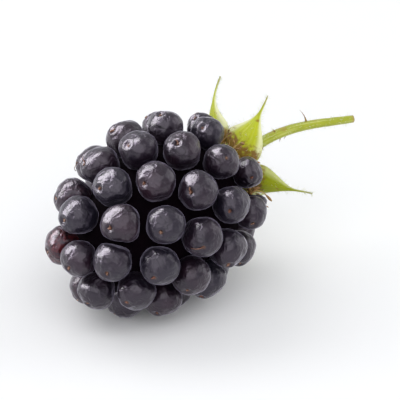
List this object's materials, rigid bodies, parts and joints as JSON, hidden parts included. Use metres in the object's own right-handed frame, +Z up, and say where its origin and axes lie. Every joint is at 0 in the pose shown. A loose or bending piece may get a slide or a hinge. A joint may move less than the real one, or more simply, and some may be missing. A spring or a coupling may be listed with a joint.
{
  "type": "bramble berry",
  "caption": "Ripe bramble berry lying on its side: a fruit of joined round drupelets, with its calyx of pointed sepals, dried stamens and a short bent pedicel.",
  "frame": {"origin": "middle of the bounding box on the surface that the fruit rests on", "axes": "+Z up; +X along the length of the berry, from its tip towards the pedicel; +Y completes a right-handed frame"},
  "size_m": [0.0348, 0.0184, 0.018],
  "materials": {
    "drupelet_skin": "thin glossy skin, near black with a purple tint",
    "sepal_green": "soft matt yellow-green with pale downy edges",
    "pedicel_green": "matt yellow-green with fine down",
    "dried_stamens": "dry brown filaments"
  },
  "bodies": {
    "root": {"fruit": "drupelet_skin", "pedicel": "pedicel_green", "sepal_1": "sepal_green", "sepal_2": "sepal_green", "sepal_3": "sepal_green", "sepal_4": "sepal_green", "sepal_5": "sepal_green", "stamen_ring": "dried_stamens"}
  },
  "joints": []
}
